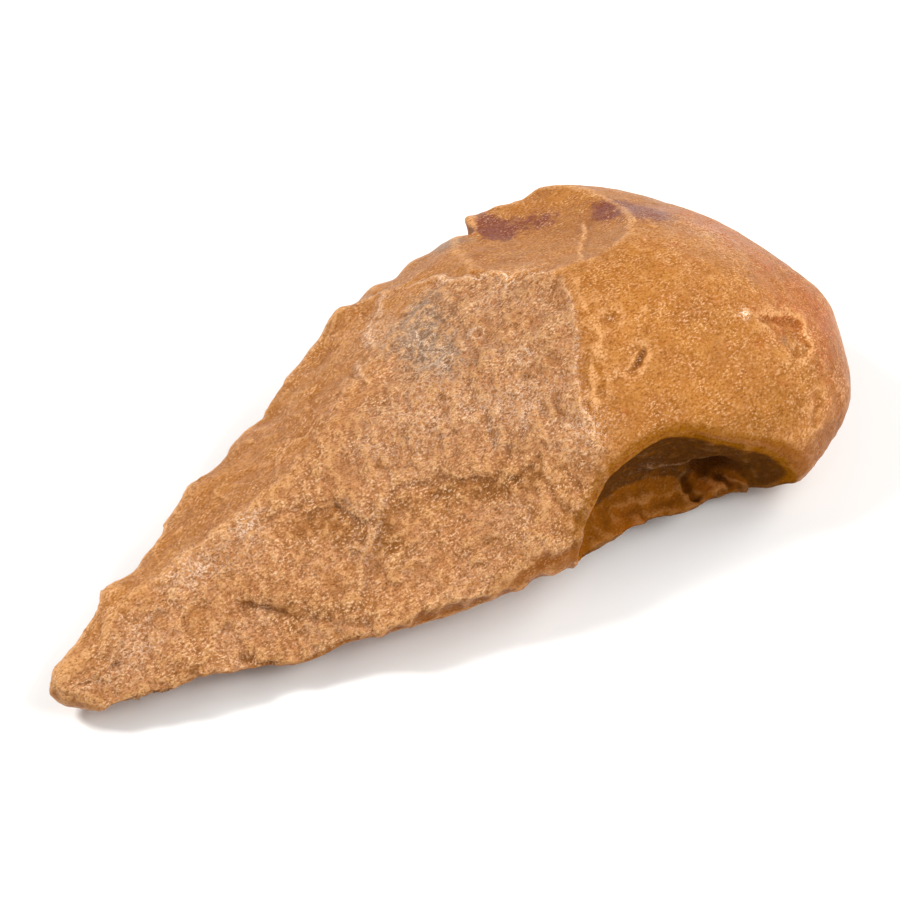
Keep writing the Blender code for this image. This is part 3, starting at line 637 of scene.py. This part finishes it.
def makeStone():
    # the CAD node's own form, remeshed and worn, plus the relief along its normals and the pulls; then the
    # masks that the material reads, as attributes of the vertices
    skin = remeshed(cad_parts["hand_axe"], stone["voxel"])
    points, quads, edges = meshArrays(skin)
    print("stone skin:", len(points), "vertices")
    points = evenOut(points, edges, 1)
    shares = faceShares(points)
    inHollow = smoothStep(*stone["hollow"]["edge"], hollowDepth(points))
    under = smoothStep(*stone["underLean"], vertexNormals(points, quads)[:, 2])
    rough = breakRoughness(points, shares, under, inHollow)
    lip = lipMask(points, edges, under, inHollow)

    # the ridges are worn, the hollow's lip most, and the step behind the point is crumbled away
    wear, crumbled = stone["wear"], stone["crumbled"]
    points = evenOut(points, edges, wear["rounds"], wear["share"] + wear["inHollow"] * inHollow)
    points = evenOut(points, edges, stone["lip"]["smoothRounds"], np.clip(inHollow + lip, 0, 1) * 0.5)
    away = smoothStep(*crumbled["edge"], blob(points, crumbled["at"], crumbled["radii"]))
    points = evenOut(points, edges, crumbled["rounds"], 0.5 * away)
    normals = vertexNormals(points, quads)
    base = points.copy()
    proud = np.linalg.norm(evenOut(points, edges, stone["rim"]["rounds"]) - points, axis=1)
    rim = smoothStep(*stone["rim"]["proud"], proud) * (1 - inHollow)

    relief, dark, pale = linesAndPits(points)
    relief += breakRelief(points, shares, rough) + rimRelief(points, rim, rough)
    for wall in stone["walls"]:
        relief += wall["height"] * layeredNoise(points, wall["size"], wall["seed"], 2) * inHollow
    rest = stone["restFlat"]
    onRest = smoothStep(*rest["height"], base[:, 2]) * smoothStep(*rest["lean"], normals[:, 2])
    points = points + normals * (relief * (1 - onRest))[:, None]
    for at, reach, move in stone["pulls"]:
        share = blob(base, at, np.array([1, 1, stone["pullTall"]]) * reach) * (1 - onRest)
        points = points + share[:, None] * np.array(move)
    points = evenOut(points, edges, 1, 0.25)
    low, high = (np.array(corner) * 1000 for corner in cadBox)
    points = np.clip(points, low - [stone["past"], stone["past"], 0], high + stone["past"])
    print("stone shaped")

    normals = vertexNormals(points, quads)
    steep, band = stone["steep"], stone["rimBand"]
    lean = evenOut(normals[:, 2], edges, steep["rounds"])
    alongRim = smoothStep(*band["edge"], evenOut(rim, edges, band["rounds"]))
    alongRim *= band["share"] * smoothStep(*band["facing"], normals[:, 1])
    masks = {"rough": rough, "inHollow": inHollow, "dark": np.clip(dark, 0, 1.5), "lip": lip}
    # painted light: the hollow's floor, where it faces up, is painted lighter than its shaded walls
    masks["floor"] = inHollow * smoothStep(*steep["floor"], lean)
    # painted shade: darker where the skin is steep and along the rim band that faces the near side
    masks["bevel"] = np.maximum(smoothStep(*steep["side"], lean), alongRim) * (1 - inHollow)
    for name in ("standFine", "standBroad"):  # fine for the edges of grains, broad for ridges and hollows
        masks[name] = standOut(points, edges, normals, stone[name])
    for name, spots in stone["patches"].items():
        masks[name] = sum(strength * blob(base, at, radii) for at, radii, strength in spots)
    crushed = stone["crushed"]
    powder = smoothStep(0.0, crushed["high"], layeredNoise(base, crushed["size"], 301))
    powder *= crushed["strength"] * rough
    masks["pale"] = np.clip((masks["pale"] + powder) * (1 - inHollow) + pale, 0, 2)

    skin.name = "handAxe"
    skin.vertices.foreach_set("co", (points / 1000).astype(np.float32).ravel())
    for name, values in masks.items():
        layer = skin.attributes.new(name, "FLOAT", "POINT")
        layer.data.foreach_set("value", values.astype(np.float32))
    skin.polygons.foreach_set("use_smooth", np.ones(len(skin.polygons), bool))
    skin.update()
    piece = bpy.data.objects.new("handAxeStone", skin)
    bpy.context.scene.collection.objects.link(piece)
    return piece


quartzite = dict(
    ior=1.54,
    # the dark brown for low places is painted shade with dirt, and the pale fleck colour is the painted
    # sparkle of the grains
    sheen="#f4c48c", base="#9a5e28", creviceDirtAndShade="#6e3a0c", worn="#d69c63", paintedGlint="#f5cca4", white="#f3d6bc",
    # layers of colour from the first to the last: a layer's share is its attribute times `weight` plus
    # noise of `size` mm, moved from low..high to least..most
    layers=[
        dict(colour="#ae6e2d", size=11, low=0.40, high=0.64, least=0.15, most=0.9),
        dict(colour="#c68d48", size=3.2, low=0.46, high=0.74, least=0.0, most=0.40),
        dict(
            colour="#c28353", where="rough", weight=0.70, size=6, low=0.74, high=1.15, least=0.0,
            most=0.88),
        dict(
            colour="#86705e", where="grey", weight=0.5, size=1.8, low=0.64, high=0.98, least=0.0, most=0.8),
        dict(
            colour="#a84a14", where="blush", weight=0.45, size=4, low=0.58, high=1.05, least=0.0, most=0.7),
        dict(
            colour="#64202a", where="maroon", weight=0.45, size=1.5, low=0.74, high=0.98, least=0.0,
            most=0.8),
        # painted shade: the inside of the finger hollow is painted dark
        dict(
            colour="#4a2a0c", where="inHollow", weight=1.0, size=3, low=0.75, high=1.4, least=0.0,
            most=0.97),
        # painted light on the hollow's floor where it faces up
        dict(
            colour="#80480c", where="floor", weight=1.0, size=2.2, low=1.00, high=1.5, least=0.0, most=0.9),
        dict(colour="#8f4c12", where="rust", weight=1.0, size=2.0, low=0.70, high=1.4, least=0.0, most=0.9),
        dict(
            colour="#8a5205", where="lip", weight=1.0, size=2.5, low=0.50, high=1.05, least=0.0, most=0.95),
        # painted shade on the steep sides and along the rim
        dict(
            colour="#7e4408", where="bevel", weight=1.0, size=2.5, low=0.60, high=1.3, least=0.0,
            most=0.85),
        # painted shade from the darker patches under the steps
        dict(
            colour="#8a5016", where="shade", weight=0.8, size=2.5, low=0.62, high=1.15, least=0.0,
            most=0.75),
        # painted shade and dirt in slits, gaps and pits
        dict(
            colour="#3d1c05", where="dark", weight=1.0, size=1.5, low=0.85, high=1.5, least=0.0, most=0.85),
    ],
    # shades by how far a vertex stands out: attribute, from, to, most and colour; the brown rows are painted
    # shade and dirt where the skin lies low
    shades=[("standFine", 0.45, 0.00, 0.28, "creviceDirtAndShade"), ("standFine", 0.55, 0.95, 0.7, "worn"),
            ("standBroad", 0.40, -0.20, 0.18, "creviceDirtAndShade"), ("standBroad", 0.60, 1.10, 0.3, "worn")],
    smooth=0.15,  # what is left of the grain where the stone is smoothest
    steepSmooth=0.55,  # how smooth the steep sides and the far rim are
    # the real grains are about 0.1 to 0.3 mm wide: drawn at 0.36 mm, and longer along the stone, so that
    # they show; their pale flecks are painted glints and the brown between them painted shade
    grain=dict(size=0.36, drawn=(0.65, 1.0, 0.85), between=(0.48, 0.36), brown=0.7, glintRange=(0.555, 0.60),
               amount=(0.30, 0.68), bump=(0.25, 0.75), depth=0.0007),
    drift=dict(size=4.5, amount=(0.15, 1.2)),  # where the painted glints gather
    winding=dict(size=1.3, line=(0.035, 0.008), strength=(0.04, 0.8)),  # whitish lines of crushed stone
    wrinkle=dict(size=1.9, bump=(0.20, 1.0), depth=0.0013),  # depths in metres
    gloss=(0.32, 0.50),  # roughness of the polish, from place to place
    shine=(0.18, 0.55),  # specular level on the cobble's skin and on the breaks
)


def quartziteMaterial():
    # ochre quartzite, struck and then worn and stained in the ground: the sparkle of its glassy grains is
    # painted as pale flecks, its worn ridges are pale, its cracks brown with painted shade and dirt, its
    # hollow, pits and steep sides darkened with painted shade, and a polished iron skin makes it warm
    material = bpy.data.materials.new("patinatedQuartzite")
    material.use_nodes = True
    tree = material.node_tree
    tree.nodes.clear()
    place = addNode(tree, "ShaderNodeTexCoord", output="Object")
    attribute = {}
    for name in ("rough", "inHollow", "standFine", "standBroad", "grey", "blush", "maroon", "floor", "lip",
                 "bevel", "rust", "shade", "dark", "pale"):
        attribute[name] = addNode(tree, "ShaderNodeAttribute", output="Fac", attribute_name=name)

    # noise scales are one over mm, in Object coordinates in metres
    colour = linear(quartzite["base"])
    for layer in quartzite["layers"]:
        share = addNode(tree, "ShaderNodeTexNoise", {"Vector": place, "Scale": 1000 / layer["size"],
                                                     "Detail": 4.0, "Roughness": 0.65}, "Fac")
        if "where" in layer:
            share = addNode(tree, "ShaderNodeMath", {0: attribute[layer["where"]], 1: layer["weight"],
                                                     2: share}, operation="MULTIPLY_ADD")
        share = addNode(tree, "ShaderNodeMapRange", {"Value": share, "From Min": layer["low"],
                                                     "From Max": layer["high"], "To Min": layer["least"],
                                                     "To Max": layer["most"]})
        colour = addNode(tree, "ShaderNodeMix", {0: share, 6: colour, 7: linear(layer["colour"])}, 2,
                         data_type="RGBA")

    # grainy is 1 on the breaks and falls to `smooth` in the hollow, on its lip and on the steep sides
    grainy = addNode(tree, "ShaderNodeMath", {0: attribute["floor"], 1: -0.05, 2: attribute["inHollow"]},
                   operation="MULTIPLY_ADD")
    grainy = addNode(tree, "ShaderNodeMath", {0: grainy, 1: attribute["lip"]}, operation="MAXIMUM")
    grainy = addNode(tree, "ShaderNodeMath", {0: attribute["bevel"], 1: quartzite["steepSmooth"], 2: grainy},
                   operation="MULTIPLY_ADD", use_clamp=True)
    grainy = addNode(tree, "ShaderNodeMapRange", {"Value": grainy, "To Min": 1.0,
                                                  "To Max": quartzite["smooth"]})

    # cracks and other low places are browned with painted shade and dirt, and grain edges and ridges are worn
    # pale
    for name, low, high, most, tone in quartzite["shades"]:
        share = addNode(tree, "ShaderNodeMapRange", {"Value": attribute[name], "From Min": low,
                                                     "From Max": high, "To Min": 0.0, "To Max": most})
        share = addNode(tree, "ShaderNodeMath", {0: share, 1: grainy}, operation="MULTIPLY")
        colour = addNode(tree, "ShaderNodeMix", {0: share, 6: colour, 7: linear(quartzite[tone])}, 2,
                         data_type="RGBA")

    # glassy grains: pale flecks where the noise is high are painted glints, and brown where it is low is
    # painted shade between the grains
    look = quartzite["grain"]
    drawn = addNode(tree, "ShaderNodeMapping", {"Vector": place, "Scale": look["drawn"]})
    grain = addNode(tree, "ShaderNodeTexNoise", {"Vector": drawn, "Scale": 1000 / look["size"], "Detail": 4.0,
                                                 "Roughness": 0.6}, "Fac")
    drift = addNode(tree, "ShaderNodeTexNoise", {"Vector": place, "Scale": 1000 / quartzite["drift"]["size"],
                                                 "Detail": 3.0, "Roughness": 0.6}, "Fac")
    least, most = quartzite["drift"]["amount"]
    drift = addNode(tree, "ShaderNodeMapRange", {"Value": drift, "From Min": 0.35, "From Max": 0.65,
                                                 "To Min": least, "To Max": most})
    low, high = look["between"]
    between = addNode(tree, "ShaderNodeMapRange", {"Value": grain, "From Min": low, "From Max": high,
                                                   "To Min": 0.0, "To Max": look["brown"]})
    colour = addNode(tree, "ShaderNodeMix", {0: between, 6: colour, 7: linear(quartzite["creviceDirtAndShade"])}, 2,
                     data_type="RGBA")
    low, high = look["glintRange"]
    paintedGlint = addNode(tree, "ShaderNodeMapRange", {"Value": grain, "From Min": low, "From Max": high})
    least, most = look["amount"]
    amount = addNode(tree, "ShaderNodeMapRange", {"Value": attribute["rough"], "To Min": least,
                                                  "To Max": most})
    for factor in (amount, drift, grainy):
        paintedGlint = addNode(tree, "ShaderNodeMath", {0: paintedGlint, 1: factor}, operation="MULTIPLY")
    colour = addNode(tree, "ShaderNodeMix", {0: paintedGlint, 6: colour, 7: linear(quartzite["paintedGlint"])}, 2,
                     data_type="RGBA")

    # crushed edges and patches: thin whitish lines that wind where a noise passes through its middle
    look = quartzite["winding"]
    winding = addNode(tree, "ShaderNodeTexNoise", {"Vector": place, "Scale": 1000 / look["size"],
                                                   "Detail": 3.0, "Roughness": 0.65}, "Fac")
    winding = addNode(tree, "ShaderNodeMath", {0: winding, 1: 0.5}, operation="SUBTRACT")
    winding = addNode(tree, "ShaderNodeMath", {0: winding}, operation="ABSOLUTE")
    low, high = look["line"]
    least, most = look["strength"]
    winding = addNode(tree, "ShaderNodeMapRange", {"Value": winding, "From Min": low, "From Max": high,
                                                   "To Min": least, "To Max": most})
    white = addNode(tree, "ShaderNodeMath", {0: attribute["pale"], 1: winding}, operation="MULTIPLY",
                    use_clamp=True)
    colour = addNode(tree, "ShaderNodeMix", {0: white, 6: colour, 7: linear(quartzite["white"])}, 2,
                     data_type="RGBA")

    # two bumps: the grains, least on the smooth places, and broader wrinkles
    least, most = quartzite["grain"]["bump"]
    bump = addNode(tree, "ShaderNodeMapRange", {"Value": attribute["rough"], "To Min": least, "To Max": most})
    bump = addNode(tree, "ShaderNodeMath", {0: bump, 1: grainy}, operation="MULTIPLY")
    normal = addNode(tree, "ShaderNodeBump", {"Height": grain, "Strength": bump,
                                              "Distance": quartzite["grain"]["depth"]})
    look = quartzite["wrinkle"]
    wrinkle = addNode(tree, "ShaderNodeTexNoise", {"Vector": place, "Scale": 1000 / look["size"],
                                                   "Detail": 5.0, "Roughness": 0.65}, "Fac")
    least, most = look["bump"]
    bump = addNode(tree, "ShaderNodeMapRange", {"Value": attribute["rough"], "To Min": least, "To Max": most})
    normal = addNode(tree, "ShaderNodeBump", {"Height": wrinkle, "Strength": bump, "Distance": look["depth"],
                                              "Normal": normal})
    least, most = quartzite["gloss"]
    gloss = addNode(tree, "ShaderNodeMapRange", {"Value": drift, "To Min": least, "To Max": most})

    # the iron-stained skin lets less of the sky shine back than bare glass would, and warms it: most on the
    # rough breaks, less on the smooth places and none in the hollow
    least, most = quartzite["shine"]
    shine = addNode(tree, "ShaderNodeMapRange", {"Value": attribute["rough"], "To Min": least,
                                                 "To Max": most})
    bare = addNode(tree, "ShaderNodeMath", {0: 1.0, 1: attribute["inHollow"]}, operation="SUBTRACT")
    for factor in (grainy, bare):
        shine = addNode(tree, "ShaderNodeMath", {0: shine, 1: factor}, operation="MULTIPLY")
    shader = addNode(tree, "ShaderNodeBsdfPrincipled",
                     {"IOR": quartzite["ior"], "Metallic": 0.0, "Base Color": colour, "Roughness": gloss,
                      "Normal": normal, "Specular IOR Level": shine,
                      "Specular Tint": linear(quartzite["sheen"])})
    addNode(tree, "ShaderNodeOutputMaterial", {"Surface": shader})
    return material


stonePiece = makeStone()
stonePiece.data.materials.clear()
stonePiece.data.materials.append(quartziteMaterial())
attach(stonePiece, "root")
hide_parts("hand_axe")
print("stone dressed")

studio = dict(  # lengths in metres, lamp power in watts
    floorSize=6.0, floorColour="#f4f3f1", floorRoughness=0.9,
    world="#ffffff", worldStrength=0.30, aim=(0, 0, 0.02),
    lamps=dict(
        key=dict(at=(-0.50, 0.45, 0.75), size=0.24, power=9.2),
        right=dict(at=(0.70, -0.15, 0.65), size=0.45, power=3.8),
        fill=dict(at=(0.45, -0.70, 0.70), size=0.6, power=8.8),
    ),
)


def makeStudio():
    half = studio["floorSize"] / 2
    corners = np.array([(-half, -half, 0), (half, -half, 0), (half, half, 0), (-half, half, 0)])
    mesh = bpy.data.meshes.new("floor")
    mesh.from_pydata(corners.tolist(), [], [(0, 1, 2, 3)])
    floor = bpy.data.objects.new("floor", mesh)
    bpy.context.scene.collection.objects.link(floor)
    paper = bpy.data.materials.new("matPaper")  # plain backdrop paper: pale and without gloss
    paper.use_nodes = True
    shader = paper.node_tree.nodes["Principled BSDF"]
    shader.inputs["Base Color"].default_value = linear(studio["floorColour"])
    shader.inputs["Roughness"].default_value = studio["floorRoughness"]
    mesh.materials.append(paper)
    world = bpy.data.worlds.new("studio")
    bpy.context.scene.world = world
    world.use_nodes = True
    background = world.node_tree.nodes["Background"]
    background.inputs["Color"].default_value = linear(studio["world"])
    background.inputs["Strength"].default_value = studio["worldStrength"]
    for name, lamp in studio["lamps"].items():
        light = bpy.data.lights.new(name, "AREA")
        light.size = lamp["size"]
        light.energy = lamp["power"]
        holder = bpy.data.objects.new(name, light)
        holder.location = lamp["at"]
        towards = Vector(studio["aim"]) - Vector(lamp["at"])
        holder.rotation_euler = towards.to_track_quat("-Z", "Y").to_euler()
        bpy.context.scene.collection.objects.link(holder)
    bpy.context.scene.view_settings.view_transform = "Standard"
    print("studio lit")


# bearing and rise in degrees, distance and target in metres, lens and sensor in mm
view = dict(azimuth=-36, elevation=45, distance=0.480, target=(0.003563, -0.001490, 0.015), lens=104.36,
            sensor=36)


def makeCamera():
    # stands at the distance from the target, along its bearing and rise, and looks at it
    turn, rise = math.radians(view["azimuth"]), math.radians(view["elevation"])
    back = Vector((math.sin(turn) * math.cos(rise), -math.cos(turn) * math.cos(rise), math.sin(rise)))
    right = Vector((math.cos(turn), math.sin(turn), 0))
    place = Matrix((right, back.cross(right), back)).transposed().to_4x4()
    place.translation = Vector(view["target"]) + back * view["distance"]
    data = bpy.data.cameras.new("camera")
    data.sensor_width = view["sensor"]
    data.lens = view["lens"]
    data.clip_start = 0.01
    camera = bpy.data.objects.new("camera", data)
    camera.matrix_world = place
    bpy.context.scene.collection.objects.link(camera)
    bpy.context.scene.camera = camera
    print("camera placed")


makeStudio()
makeCamera()
